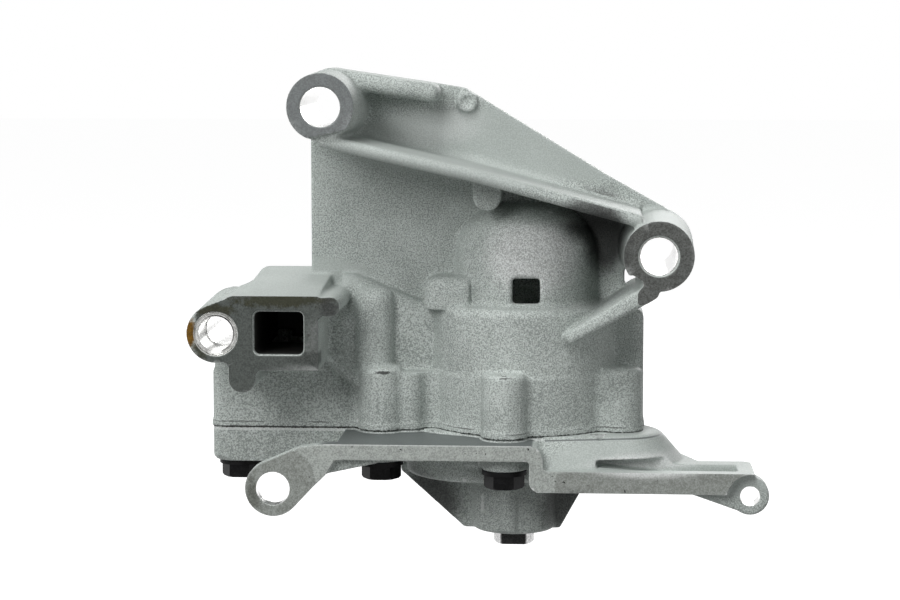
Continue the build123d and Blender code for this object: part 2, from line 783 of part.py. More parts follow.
def skirt():
    """Sloping skirt from the joint down to the low half of the tray, right of the step."""
    crest = strap(rotor_eccentricity, 0, barrel_radius + skirt_rim,
                  skirt_right_x, skirt_right_y, skirt_right_radius)
    foot = strap(rotor_eccentricity, 0, barrel_radius + skirt_rim + skirt_spread,
                 skirt_right_x, skirt_right_y, skirt_right_radius + skirt_spread)
    slope = loft([Pos(0, 0, tray_low_top_z) * foot, Pos(0, 0, joint_z) * crest])
    slope = fillet(slope.edges().group_by(Axis.Z)[-1], skirt_edge_radius)
    floor = foot + polygon([
        (skirt_right_x, skirt_back_y), (skirt_tail_x, skirt_back_y), (skirt_tip_x, arm_back_y),
        (skirt_tip_x, arm_back_y - overrun), (skirt_right_x, arm_back_y - overrun),
    ])
    slope += along_z(floor, tray_low_top_z - arm_rib_thickness, tray_low_top_z)
    room = block(tray_step_x, skirt_tip_x, block_face_y, skirt_back_y)
    return slope & along_z(room, tray_low_top_z - arm_rib_thickness, joint_z)


def tray():
    """Front tray: a high shelf on the left, an S-shaped step, and a low arm on the right."""
    step_left = tray_step_x - tray_step_width / 2
    step_right = tray_step_x + tray_step_width / 2
    low_bottom = tray_low_top_z - tray_low_thickness
    high_bottom = tray_top_z - tray_thickness
    face = polygon([
        (tray_left_x, tray_top_z), (tray_step_x, tray_top_z), (tray_step_x, tray_low_top_z),
        (arm_end_x, tray_low_top_z), (arm_end_x, low_bottom), (step_left, low_bottom),
        (step_left, high_bottom), (tray_left_x, high_bottom),
    ])
    for x, z, radius in ((tray_step_x, tray_top_z, step_top_radius),
                         (tray_step_x, tray_low_top_z, step_foot_radius),
                         (step_left, low_bottom, step_bottom_radius),
                         (step_left, high_bottom, step_inner_radius)):
        corner = [vertex for vertex in face.vertices()
                  if abs(vertex.X - x) < seat_gap and abs(vertex.Y - z) < seat_gap]
        face = fillet(corner, radius)
    rim = along_y(face, block_face_y, tray_rim_y)
    shelf = along_y(face & block(tray_left_x, tray_step_x, high_bottom, tray_top_z), tray_rim_y, tray_back_y)
    arm = along_z(block(step_right, arm_end_x, block_face_y, arm_back_y), low_bottom, tray_low_top_z)
    arm -= along_z(block(step_right - overrun, groove_right_x - arm_hollow_length, tray_rim_y,
                         arm_back_y + overrun), low_bottom - overrun, tray_low_top_z - arm_rib_thickness)
    corners = [edge for edge in arm.edges().filter_by(Axis.Z) if edge.center().X > arm_end_x - seat_gap]
    arm = fillet(corners, arm_end_radius / 2)
    groove = polygon([
        (groove_left_x, tray_low_top_z + overrun), (groove_left_x, tray_low_top_z),
        (groove_right_x, tray_low_top_z - groove_depth), (groove_right_x, tray_low_top_z + overrun),
    ])
    whole = rim + shelf + arm
    return whole, along_y(groove, groove_front_y, groove_back_y)


def big_ear():
    """Left ear of the tray with its large hole."""
    span_x = tray_left_x - big_ear_x
    span_z = tray_top_z - big_ear_z

    def near(share_x, share_z):
        return (big_ear_x + share_x * span_x, big_ear_z + share_z * span_z)

    def rim(angle):
        return (big_ear_x + big_ear_radius * cos(radians(angle)),
                big_ear_z + big_ear_radius * sin(radians(angle)))

    outline = polygon([
        rim(big_ear_shoulder_degrees), *[near(*share) for share in big_ear_upper_shares],
        (tray_left_x + overrun, tray_top_z), (tray_left_x + overrun, tray_top_z - tray_thickness),
        *[near(*share) for share in big_ear_lower_shares], rim(big_ear_heel_degrees),
    ])
    outline += disc(big_ear_x, big_ear_z, big_ear_radius)
    ear = along_y(outline, block_face_y, block_face_y + big_ear_thickness)
    web_start = near(*big_ear_lower_shares[1])
    middle_x, middle_y = bolt_places["middle"]
    web = strap(web_start[0], web_start[1] + ear_web_thickness / 2, ear_web_thickness / 2,
                middle_x, tray_top_z - tray_thickness, ear_web_thickness / 2)
    web = along_y(web, block_face_y + big_ear_thickness / 2, middle_y)
    return ear + web


def small_ear():
    """Right ear under the arm, set back from the arm's face, with its gusset."""
    low_bottom = tray_low_top_z - tray_low_thickness
    outline = disc(small_ear_x, small_ear_z, small_ear_radius)
    outline += polygon([
        (small_ear_root_x, low_bottom), (small_ear_x, small_ear_z - small_ear_radius),
        (small_ear_x, low_bottom + overrun), (small_ear_root_x, low_bottom + overrun),
    ])
    return along_y(outline, small_ear_y, small_ear_y + small_ear_thickness)


def belly():
    """Round belly of the cover under the rotors, with the bearing neck and its gussets."""
    plan = strap(belly_left_x, 0, belly_left_radius, belly_right_x, 0, belly_right_radius)
    body = along_z(plan, belly_bottom_z, joint_z)
    body = fillet(body.edges().group_by(Axis.Z)[0], belly_edge_radius)
    neck = rod(0, 0, neck_radius, neck_bottom_z + neck_seat_height, joint_z)
    neck = chamfer(neck.edges().group_by(Axis.Z)[0], neck_chamfer)
    neck += rod(0, 0, neck_seat_radius, neck_bottom_z, joint_z)
    for top_x, bottom_x in ((gusset_left_top_x, gusset_left_bottom_x), (gusset_right_top_x, gusset_right_bottom_x)):
        rib = polygon([(0, belly_bottom_z + overrun), (top_x, belly_bottom_z + overrun), (top_x, belly_bottom_z),
                       (bottom_x, gusset_bottom_z), (0, gusset_bottom_z)])
        neck += along_y(rib, -gusset_thickness / 2, gusset_thickness / 2)
    rib_y = -sqrt(neck_radius ** 2 - neck_rib_x ** 2) - neck_rib_proud + neck_rib_radius
    neck += rod(neck_rib_x, rib_y, neck_rib_radius, neck_bottom_z + neck_seat_height + neck_chamfer, joint_z)
    return body + neck


def make_cover():
    """Die-cast cover that closes the housing, carries the lower bush and ends in tray and ears."""
    seat_z = cover_bolt_seat_z
    outline = blended(joint_outline(), boss_blend_radius)
    body = along_z(outline, seat_z, joint_z)
    left_plan = blended(block(left_body_x, middle_left_x, left_body_front_y, left_body_back_y), left_body_corner)
    body += along_z(left_plan, joint_z - cover_thickness, joint_z)
    for name in ("left", "back_left"):
        x, y = bolt_places[name]
        body += rod(x, y, boss_radius, joint_z - cover_thickness, joint_z)
    tray_body, groove = tray()
    x, y = bolt_places["front"]
    body += tray_body + skirt() + rod(x, y, boss_radius, seat_z, joint_z)
    body += big_ear() + small_ear()
    body -= groove
    body += belly()

    # Room for the bolt heads and their holes
    for name, (x, y) in bolt_places.items():
        body -= rod(x, y, bolt_flange_radius + 2 * bolt_hole_gap, -overrun, bolt_seat(name))
        body -= rod(x, y, bolt_radius + bolt_hole_gap, -overrun, joint_z + overrun)
    for x, y in cover_dowel_places:
        body -= rod(x, y, cover_dowel_radius + seat_gap, joint_z - cover_dowel_length / 2 - seat_gap,
                    joint_z + overrun)

    # Ears, relief of the arm over the small ear, and the notch beside the right bolt
    body -= pipe(big_ear_x, big_ear_z, big_ear_bore, block_face_y - overrun, block_face_y + lug_depth)
    body -= pipe(small_ear_x, small_ear_z, small_ear_relief_radius, block_face_y - overrun, small_ear_y)
    body -= pipe(small_ear_x, small_ear_z, small_ear_bore, block_face_y - overrun, block_face_y + lug_depth)
    body -= pipe(small_ear_x, small_ear_z, small_ear_radius, small_ear_y + small_ear_thickness,
                 block_face_y + lug_depth)
    notch = polygon([(notch_x, notch_y - notch_size), (notch_x + notch_size / 2, notch_y + notch_size / 2),
                     (notch_x - notch_size, notch_y + notch_size / 2)])
    body -= along_z(notch, joint_z - notch_depth - overrun, joint_z + overrun)

    # Shallow ports under the rotors, seat of the lower bush and seat of the relief plug
    for front in (True, False):
        body -= Pos(0, 0, joint_z - port_depth / 2 - (joint_z + rotor_width)) * port_over_rotors(
            front, joint_z + rotor_width + port_depth / 2 + overrun)
    bush_top = neck_bottom_z + lower_bush_inset + lower_bush_length
    body -= rod(0, 0, shaft_radius + bush_wall + seat_gap, neck_bottom_z - overrun, bush_top)
    body -= rod(0, 0, shaft_radius + bolt_hole_gap, neck_bottom_z - overrun, joint_z + overrun)
    body -= rod(relief_x, relief_y, plug_radius + seat_gap, -overrun, joint_z + overrun)
    return body


def bolt_seat(name):
    """Height of a bolt's seat: the left end of the cover is thicker."""
    return joint_z - cover_thickness if name in ("left", "back_left") else cover_bolt_seat_z


bolt_tip_z = cover_bolt_seat_z + bolt_length


def make_cover_bolts():
    """Flanged hexagon bolts that hold the cover."""
    head = rod(0, 0, bolt_flange_radius, -bolt_flange_thickness, 0.0)
    hexagon = RegularPolygon(bolt_hex_across / 2, 6, major_radius=False)
    top = along_z(hexagon, -bolt_head_height, -bolt_flange_thickness / 2)
    top &= Pos(0, 0, -bolt_head_height / 2) * chamfer(
        Cylinder(bolt_hex_across / sqrt(3), bolt_head_height).edges().group_by(Axis.Z)[0], bolt_head_chamfer)
    shank = rod(0, 0, bolt_radius, -bolt_flange_thickness, bolt_length)
    shank = chamfer(shank.edges().group_by(Axis.Z)[-1], bolt_head_chamfer)
    bolt = head + top + shank
    return Compound(children=[Pos(x, y, bolt_seat(name)) * bolt for name, (x, y) in bolt_places.items()])


def make_cover_dowels():
    """Hollow dowels that locate the cover on the housing."""
    dowel = Cylinder(cover_dowel_radius, cover_dowel_length)
    dowel = chamfer(dowel.edges().filter_by(GeomType.CIRCLE), bolt_head_chamfer)
    return Compound(children=[Pos(x, y, joint_z) * dowel for x, y in cover_dowel_places])


def rotor_floor_z():
    """Lowest plane of the rotors in their chamber."""
    return joint_z + rotor_end_gap


def inner_profile():
    """Inner rotor outline: the path of the outer lobe centres, moved inward by the lobe's radius.

    The path is a point on a circle about the shaft plus a small circle that turns once more per
    turn than there are inner lobes; its inward normal carries the lobe radius and the running gap.
    The points crowd together in the valleys, where the normal turns fastest.
    """
    turns = inner_lobe_count + 1
    steps = 20 * inner_lobe_count
    points = []
    for step in range(steps):
        even = 2 * pi * step / steps
        angle = even + profile_density_share / inner_lobe_count * sin(inner_lobe_count * even)
        x = lobe_circle_radius * cos(angle) + rotor_eccentricity * cos(turns * angle)
        y = lobe_circle_radius * sin(angle) + rotor_eccentricity * sin(turns * angle)
        slope_x = -lobe_circle_radius * sin(angle) - turns * rotor_eccentricity * sin(turns * angle)
        slope_y = lobe_circle_radius * cos(angle) + turns * rotor_eccentricity * cos(turns * angle)
        length = sqrt(slope_x ** 2 + slope_y ** 2)
        inset = (lobe_radius + lobe_gap) / length
        points.append((x - slope_y * inset, y + slope_x * inset))
    return make_face(Spline(*points, periodic=True))


def make_inner_rotor():
    """Inner trochoid rotor with the slot that its driving pin sits in."""
    rotor = along_z(inner_profile(), rotor_floor_z(), rotor_floor_z() + rotor_width)
    rotor -= rod(0, 0, shaft_radius + seat_gap, joint_z - overrun, joint_z + rotor_width + overrun)
    half = pin_length / 2 + pin_slot_gap
    slot = block(-half, half, -pin_radius - pin_slot_gap, pin_radius + pin_slot_gap)
    return rotor - along_z(slot, pin_centre_z - pin_radius - pin_slot_gap, joint_z + rotor_width + overrun)


pin_centre_z = joint_z + rotor_end_gap + rotor_width - 2 * pin_radius


def make_outer_rotor():
    """Outer rotor: round lobes between pockets that clear the inner rotor's tips."""
    count = inner_lobe_count + 1
    root = lobe_circle_radius - lobe_radius + 2 * rotor_eccentricity + pocket_root_gap
    pocket = Circle(root)
    for index in range(count):
        angle = 2 * pi * index / count
        pocket -= disc(lobe_circle_radius * cos(angle), lobe_circle_radius * sin(angle), lobe_radius)
    pocket = offset(offset(pocket, -pocket_corner_radius), pocket_corner_radius)
    ring = along_z(Pos(rotor_eccentricity, 0) * (Circle(outer_rotor_radius) - pocket), rotor_floor_z(),
                   rotor_floor_z() + rotor_width)
    rims = [edge for edge in ring.edges().filter_by(GeomType.CIRCLE)
            if abs(edge.radius - outer_rotor_radius) < seat_gap]
    return chamfer(rims, rotor_edge_chamfer)


def make_drive_shaft():
    """Drive shaft: flats at the tang, a cross hole for the pin and a groove for the ring."""
    shaft = rod(0, 0, shaft_radius, 0.0, shaft_top_z)
    shaft = chamfer(shaft.edges().filter_by(GeomType.CIRCLE), shaft_chamfer)
    for side in (-1, 1):
        flat = block(-2 * shaft_radius, 2 * shaft_radius, tang_flats / 2, 2 * shaft_radius)
        flat = flat if side == 1 else mirror(flat, about=Plane.XZ)
        shaft -= along_z(flat, -overrun, tang_length)
    shaft -= Pos(0, 0, pin_centre_z) * Rot(0, 90, 0) * Cylinder(pin_radius + seat_gap, 4 * shaft_radius)
    groove = disc(0, 0, shaft_radius + overrun) - disc(0, 0, shaft_radius - ring_groove_depth)
    return shaft - along_z(groove, ring_bottom_z, ring_bottom_z + ring_width + seat_gap)


ring_bottom_z = hub_top_z + washer_thickness + 2 * seat_gap


def make_retaining_ring():
    """Spring ring that keeps the shaft from dropping out of the housing."""
    inside = shaft_radius - ring_groove_depth + seat_gap
    ring = disc(0, 0, inside + ring_radial_height) - disc(0, 0, inside)
    half = radians(ring_mouth_degrees / 2)
    reach = 2 * shaft_radius
    gap = polygon([(0, 0), (reach * cos(half), reach * sin(half)), (reach * cos(half), -reach * sin(half))])
    return along_z(ring - gap, ring_bottom_z + seat_gap / 2, ring_bottom_z + ring_width + seat_gap / 2)


def make_bush(bottom_z, length):
    """Plain bearing bush for the shaft."""
    outside = shaft_radius + bush_wall
    return along_z(disc(0, 0, outside) - disc(0, 0, shaft_radius + bearing_gap), bottom_z, bottom_z + length)


def make_thrust_washer():
    """Washer between the retaining ring and the hub."""
    plan = disc(0, 0, washer_radius) - disc(0, 0, shaft_radius + bearing_gap)
    return along_z(plan, hub_top_z + seat_gap, hub_top_z + seat_gap + washer_thickness)


def make_pin():
    """Cross pin that drives the inner rotor."""
    pin = Cylinder(pin_radius, pin_length)
    pin = chamfer(pin.edges().filter_by(GeomType.CIRCLE), shaft_chamfer)
    return Pos(0, 0, pin_centre_z) * Rot(0, 90, 0) * pin


def make_ring_dowel():
    """Hollow dowel in the left lug."""
    start = block_face_y + ring_dowel_seat - ring_dowel_length
    sleeve = pipe(left_lug_x, left_lug_z, ring_dowel_radius, start, start + ring_dowel_length)
    sleeve -= pipe(left_lug_x, left_lug_z, ring_dowel_bore, start - overrun, start + ring_dowel_length + overrun)
    front = sleeve.faces().sort_by(Axis.Y)[0]
    return chamfer(front.edges(), ring_dowel_chamfer)


def make_relief_piston():
    """Cup piston that slides down against its spring and opens the drain."""
    outside = relief_bore - piston_gap
    top = relief_seat_z - seat_gap
    cup = rod(relief_x, relief_y, outside, top - piston_length, top)
    return cup - rod(relief_x, relief_y, outside - piston_wall, top - piston_length - overrun, top - piston_crown)


def make_relief_spring():
    """Compression spring between the piston's crown and the spring seat."""
    bottom = joint_z + spring_seat_thickness + spring_wire_radius + seat_gap
    top = relief_seat_z - piston_crown - spring_wire_radius - 2 * seat_gap
    path = Helix(pitch=(top - bottom) / spring_turns, height=top - bottom, radius=spring_mean_radius)
    start = path @ 0
    section = Plane(origin=start, z_dir=path % 0) * Circle(spring_wire_radius)
    coil = sweep_wire(section, path)
    return Pos(relief_x, relief_y, bottom) * coil


def sweep_wire(section, path):
    """Solid of a section carried along a helix."""
    return Solid.sweep(section.face(), path=path, is_frenet=True)


def make_spring_seat():
    """Spring seat with a spigot that centres the spring."""
    plate = rod(relief_x, relief_y, relief_bore - spring_slack, joint_z, joint_z + spring_seat_thickness)
    spigot_top = joint_z + spring_seat_thickness + spring_seat_spigot_height
    spigot = rod(relief_x, relief_y, spring_seat_spigot_radius, joint_z, spigot_top)
    return plate + chamfer(spigot.edges().group_by(Axis.Z)[-1], spring_slack)


def make_relief_plug():
    """Socket plug in the cover that carries the spring seat."""
    under_head = joint_z - cover_thickness - plug_washer_thickness
    plug = rod(relief_x, relief_y, plug_radius, under_head, joint_z)
    head = rod(relief_x, relief_y, plug_head_radius, under_head - plug_head_height, under_head)
    head = chamfer(head.edges().group_by(Axis.Z)[0], bolt_head_chamfer)
    socket = Pos(relief_x, relief_y) * RegularPolygon(plug_socket_across / 2, 6, major_radius=False)
    bottom = under_head - plug_head_height
    return plug + head - along_z(socket, bottom - overrun, bottom + plug_socket_depth)


def make_plug_washer():
    """Sealing washer under the plug's head."""
    plan = disc(relief_x, relief_y, plug_head_radius) - disc(relief_x, relief_y, plug_radius + seat_gap)
    return along_z(plan, joint_z - cover_thickness - plug_washer_thickness, joint_z - cover_thickness)


def make_core_plug():
    """Cup plug in the back wall that closes the channel's core hole."""
    plug = pipe(core_plug_x, core_plug_z, core_plug_radius, left_body_back_y - core_plug_length, left_body_back_y)
    return plug - pipe(core_plug_x, core_plug_z, core_plug_radius - core_plug_wall,
                       left_body_back_y - core_plug_length + core_plug_wall, left_body_back_y + overrun)


def make_inlet_seal():
    """Seal ring in the face groove of the suction flange."""
    centre_y = inlet_face_y - seal_groove_depth + seal_section_radius + seat_gap
    return Pos(inlet_x, centre_y, inlet_z) * Rot(90, 0, 0) * Torus(seal_mean_radius, seal_section_radius)


os.makedirs("parts", exist_ok=True)
pieces = {
    "pump_housing": make_housing(),
    "pump_cover": make_cover(),
    "drive_shaft": make_drive_shaft(),
    "inner_rotor": make_inner_rotor(),
    "outer_rotor": make_outer_rotor(),
    "rotor_drive_pin": make_pin(),
    "upper_shaft_bush": make_bush(hub_top_z - upper_bush_length, upper_bush_length),
    "lower_shaft_bush": make_bush(neck_bottom_z + lower_bush_inset, lower_bush_length),
    "shaft_thrust_washer": make_thrust_washer(),
    "shaft_retaining_ring": make_retaining_ring(),
    "cover_bolts": make_cover_bolts(),
    "cover_dowels": make_cover_dowels(),
    "left_ring_dowel": make_ring_dowel(),
    "relief_piston": make_relief_piston(),
    "relief_spring": make_relief_spring(),
    "relief_spring_seat": make_spring_seat(),
    "relief_plug": make_relief_plug(),
    "relief_plug_washer": make_plug_washer(),
    "core_plug": make_core_plug(),
    "inlet_seal_ring": make_inlet_seal(),
}
for name, shape in pieces.items():
    export_step(shape, f"parts/{name}.step")
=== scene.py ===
from math import pi, radians, sqrt

import bmesh
import bpy
import numpy as np
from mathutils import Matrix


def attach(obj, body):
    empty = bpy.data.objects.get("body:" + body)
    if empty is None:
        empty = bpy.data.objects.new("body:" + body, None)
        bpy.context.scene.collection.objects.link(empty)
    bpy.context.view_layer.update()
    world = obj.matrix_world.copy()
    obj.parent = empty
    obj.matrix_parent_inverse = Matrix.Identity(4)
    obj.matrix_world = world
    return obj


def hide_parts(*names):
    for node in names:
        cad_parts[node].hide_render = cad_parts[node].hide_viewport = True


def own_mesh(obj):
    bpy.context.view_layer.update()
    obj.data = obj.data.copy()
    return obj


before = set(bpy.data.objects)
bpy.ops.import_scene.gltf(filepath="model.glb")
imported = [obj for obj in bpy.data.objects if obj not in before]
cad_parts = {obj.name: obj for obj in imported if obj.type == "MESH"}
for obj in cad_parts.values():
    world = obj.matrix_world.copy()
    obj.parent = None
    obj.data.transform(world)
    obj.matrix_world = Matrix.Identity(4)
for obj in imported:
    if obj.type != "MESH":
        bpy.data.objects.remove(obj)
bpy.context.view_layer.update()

# Camera
# A long lens stands well back, a little above the pump and right of the shaft, and looks
# straight at the machined faces, which is how the catalogue picture is taken.
mm = 0.001
view_azimuth = radians(3.48)
view_elevation = radians(6.22)
lens_width = 36.0
lens_length = 92.84
camera_place = (22.2 * mm, -678.1 * mm, 146.0 * mm)
camera_data = bpy.data.cameras.new("catalogue_camera")
camera_data.sensor_width = lens_width
camera_data.lens = lens_length
camera_data.clip_start = 10 * mm
camera_data.clip_end = 20.0
camera = bpy.data.objects.new("catalogue_camera", camera_data)
camera.location = camera_place
camera.rotation_euler = (pi / 2 - view_elevation, 0.0, view_azimuth)
bpy.context.scene.collection.objects.link(camera)
bpy.context.scene.camera = camera
bpy.context.scene.view_settings.view_transform = "Standard"


# Floor and background
# A wide pale sheet lies under the pump and runs out into a white surround. Camera, mirror and
# glass rays see the plain white; the light that reaches the pump is the dimmer studio light.
class Value:
    """A shader socket that takes part in sums, products and powers, which become Math nodes."""

    def __init__(self, shader, socket):
        self.shader = shader
        self.socket = socket

    def __add__(self, other):
        return self.shader.math("ADD", self, other)

    def __sub__(self, other):
        return self.shader.math("SUBTRACT", self, other)

    def __rsub__(self, other):
        return self.shader.math("SUBTRACT", other, self)

    def __mul__(self, other):
        return self.shader.math("MULTIPLY", self, other)

    def __truediv__(self, other):
        return self.shader.math("DIVIDE", self, other)

    def __pow__(self, other):
        return self.shader.math("POWER", self, other)

    __radd__ = __add__
    __rmul__ = __mul__


class Shader:
    """Node tree of one material or world, built by calls that take a node's kind and its inputs."""

    def __init__(self, owner):
        owner.use_nodes = True
        self.tree = owner.node_tree
        self.tree.nodes.clear()

    def node(self, kind, settings=None, **inputs):
        """One node: its settings are set first, then its inputs by name, with _ for a space."""
        made = self.tree.nodes.new("ShaderNode" + kind)
        for name, value in (settings or {}).items():
            setattr(made, name, value)
        for name, value in inputs.items():
            key = int(name[1:]) if name[0] == "i" and name[1:].isdigit() else name.replace("_", " ")
            self.feed(made.inputs[key], value)
        return made

    def feed(self, target, value):
        """Links a Value or sets a plain number, colour or vector."""
        if isinstance(value, Value):
            self.tree.links.new(value.socket, target)
        else:
            target.default_value = value

    def out(self, made, name=0):
        """Output of a node as a Value."""
        return Value(self, made.outputs[name])

    def math(self, operation, first, second=0.0):
        """Math node on two Values or numbers."""
        return self.out(self.node("Math", {"operation": operation}, i0=first, i1=second))

    def ramp(self, value, low, high):
        """Smooth step that goes from nought to one while the value goes from low to high."""
        return self.out(self.node("MapRange", {"interpolation_type": "SMOOTHSTEP"}, Value=value,
                                  From_Min=low, From_Max=high, To_Min=0.0, To_Max=1.0))

    def near(self, value, middle, far, full):
        """One while the value is within full of the middle, and nought once it is far from it."""
        return self.ramp(self.math("ABSOLUTE", value - middle), far, full)

    def oval(self, across, up, middle_across, middle_up, wide=1.0, tall=1.0):
        """Distance from an oval's middle, as a share of its half width and half height."""
        return self.math("SQRT", ((across - middle_across) / wide) ** 2.0 + ((up - middle_up) / tall) ** 2.0)

    def mix(self, share, first, second):
        """Colour between two colours."""
        return self.out(self.node("Mix", {"data_type": "RGBA"}, i0=share, i6=first, i7=second), 2)

    def place(self):
        """Object coordinates in millimetres, as a vector and as three numbers."""
        made = self.node("TexCoord")
        scaled = self.node("VectorMath", {"operation": "SCALE"}, i0=self.out(made, "Object"), i3=1 / mm)
        vector = self.out(scaled)
        split = self.node("SeparateXYZ", Vector=vector)
        return vector, self.out(split, "X"), self.out(split, "Y"), self.out(split, "Z")

    def noise(self, vector, size, detail=3.0, roughness=0.55, distortion=0.0):
        """Soft noise whose features are about size millimetres wide."""
        return self.out(self.node("TexNoise", Vector=vector, Scale=1 / size, Detail=detail, Roughness=roughness,
                                  Distortion=distortion))

    def surface(self, shader):
        """Joins a finished shader to the output of the material or the world."""
        is_world = any(item.bl_idname == "ShaderNodeBackground" for item in self.tree.nodes)
        self.node("OutputWorld" if is_world else "OutputMaterial", Surface=shader)


def colour(value):
    """Grey of that value as a colour."""
    return (value, value, value, 1.0)


def seen_share(shader):
    """One for camera, mirror and glass rays, and nought for the rays that only carry light."""
    rays = shader.node("LightPath")
    camera_ray, glass_ray, mirror_ray = (
        shader.out(rays, kind) for kind in ("Is Camera Ray", "Is Transmission Ray", "Is Glossy Ray"))
    return shader.math("MAXIMUM", shader.math("MAXIMUM", camera_ray, glass_ray), mirror_ray)


floor_drop = 60 * mm
floor_reach = 6.0
floor_colour = colour(0.32)
floor_glow = 0.97
studio_light = 0.05
studio_colour = (0.97, 0.985, 1.0, 1.0)

world = bpy.data.worlds.new("white_surround")
bpy.context.scene.world = world
air = Shader(world)
plain = air.node("Background", Color=colour(1.0), Strength=1.0)
dim = air.node("Background", Color=studio_colour, Strength=studio_light)
air.surface(air.out(air.node("MixShader", i0=seen_share(air), i1=air.out(dim), i2=air.out(plain))))

floor_mesh = bpy.data.meshes.new("pale_floor")
floor_corners = np.array([(-1, -1, 0), (1, -1, 0), (1, 1, 0), (-1, 1, 0)]) * floor_reach - (0, 0, floor_drop)
floor_mesh.from_pydata(floor_corners.tolist(), [], [(0, 1, 2, 3)])
floor = bpy.data.objects.new("pale_floor", floor_mesh)
bpy.context.scene.collection.objects.link(floor)
pale = bpy.data.materials.new("pale_floor")
sheet = Shader(pale)
matt = sheet.out(sheet.node("BsdfDiffuse", Color=floor_colour))
glow = sheet.out(sheet.node("Emission", Color=colour(1.0), Strength=floor_glow))
lit = sheet.out(sheet.node("AddShader", i0=matt, i1=glow))
sheet.surface(sheet.out(sheet.node("MixShader", i0=seen_share(sheet), i1=matt, i2=lit)))
floor_mesh.materials.append(pale)


# Studio lamps
# Most of the light comes from a small soft box high in front on the left, which draws the lip's
# shadow over the dome, and from a wide one above. Weak ones at both sides fill the shaded walls,
# and one behind lights the back.
def soft_box(name, place, aim, width, height, watts):
    """Rectangular lamp at a place, turned towards a point."""
    lamp = bpy.data.lights.new(name, "AREA")
    lamp.shape = "RECTANGLE"
    lamp.size = width
    lamp.size_y = height
    lamp.energy = watts
    made = bpy.data.objects.new(name, lamp)
    made.location = place
    way = [goal - start for goal, start in zip(aim, place)]
    flat = sqrt(way[0] ** 2 + way[1] ** 2)
    made.rotation_euler = (np.arctan2(flat, -way[2]), 0.0, np.arctan2(way[0], -way[1]) + pi)
    bpy.context.scene.collection.objects.link(made)


pump_middle = (-10 * mm, -10 * mm, 70 * mm)
soft_box("front_soft_box", (-0.50, -0.92, 0.575), pump_middle, 0.4, 0.4, 5.6)
soft_box("top_soft_box", (-0.25, -0.45, 1.0), pump_middle, 0.6, 0.5, 7.6)
soft_box("left_soft_box", (-1.1, -0.1, 0.3), pump_middle, 0.6, 0.6, 2.0)
soft_box("right_soft_box", (0.9, -0.6, 0.35), pump_middle, 0.5, 0.5, 1.7)
soft_box("back_soft_box", (0.30, 1.05, 0.45), pump_middle, 0.7, 0.7, 7.0)


# Pump housing
# One aluminium casting, bead-blasted all over and then machined where it meets the engine block
# and in its bores. Its edges are rounded by the mould, and its skin is slightly uneven.
skin_voxel = 0.48 * mm
skin_smoothing = 4
skin_triangles = 192000
crease_angle = radians(38)
same_point = 0.001 * mm
block_face = -38.0
suction_face = 34.0
joint_height = 36.0
machined_margin = 0.35 * mm
housing_bores = (
    # X, Z and radius of a machined bore along Y, then its first and last Y
    (-52.8, 129.5, 5.5, -38.0, 2.0),
    (41.1, 88.5, 5.2, -38.0, 2.0),
    (-82.6, 66.1, 6.12, -38.0, -25.5),
    (-82.6, 66.1, 4.6, -25.5, 2.0),
    (3.5, 86.5, 9.5, 20.0, 34.0),
)


def merged_copy(node, name):
    """Copy of a CAD node's mesh with its triangles joined along their edges."""
    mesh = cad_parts[node].data.copy()
    mesh.name = name
    shape = bmesh.new()
    shape.from_mesh(mesh)
    bmesh.ops.remove_doubles(shape, verts=shape.verts, dist=same_point)
    shape.to_mesh(mesh)
    shape.free()
    mesh.materials.clear()
    made = bpy.data.objects.new(name, mesh)
    bpy.context.scene.collection.objects.link(made)
    return made


def settled(piece):
    """Gives a piece the mesh that its modifiers make, and drops the modifiers."""
    depsgraph = bpy.context.evaluated_depsgraph_get()
    made = bpy.data.meshes.new_from_object(piece.evaluated_get(depsgraph), depsgraph=depsgraph)
    old = piece.data
    piece.modifiers.clear()
    piece.data = made
    bpy.data.meshes.remove(old)


def machined_points(mesh, bores, planes, inner):
    """True for each vertex on a machined plane, in a machined bore or in an inner space.

    A plane is an axis and its height. A bore keeps the points whose distance from its axis is its
    radius, and an inner space those nearer to its upright axis than its radius.
    """
    places = np.empty(len(mesh.vertices) * 3)
    mesh.vertices.foreach_get("co", places)
    places = places.reshape(-1, 3)
    kept = np.zeros(len(places), bool)
    for axis, height in planes:
        kept |= np.abs(places[:, axis] - height * mm) < machined_margin
    for x, z, radius, front, back in bores:
        away = np.hypot(places[:, 0] - x * mm, places[:, 2] - z * mm)
        along = (places[:, 1] > front * mm - machined_margin) & (places[:, 1] < back * mm + machined_margin)
        kept |= along & (np.abs(away - radius * mm) < machined_margin)
    for x, y, low, high, radius in inner:
        column = np.hypot(places[:, 0] - x * mm, places[:, 1] - y * mm) < radius * mm
        kept |= column & (places[:, 2] > low * mm) & (places[:, 2] < high * mm)
    return kept


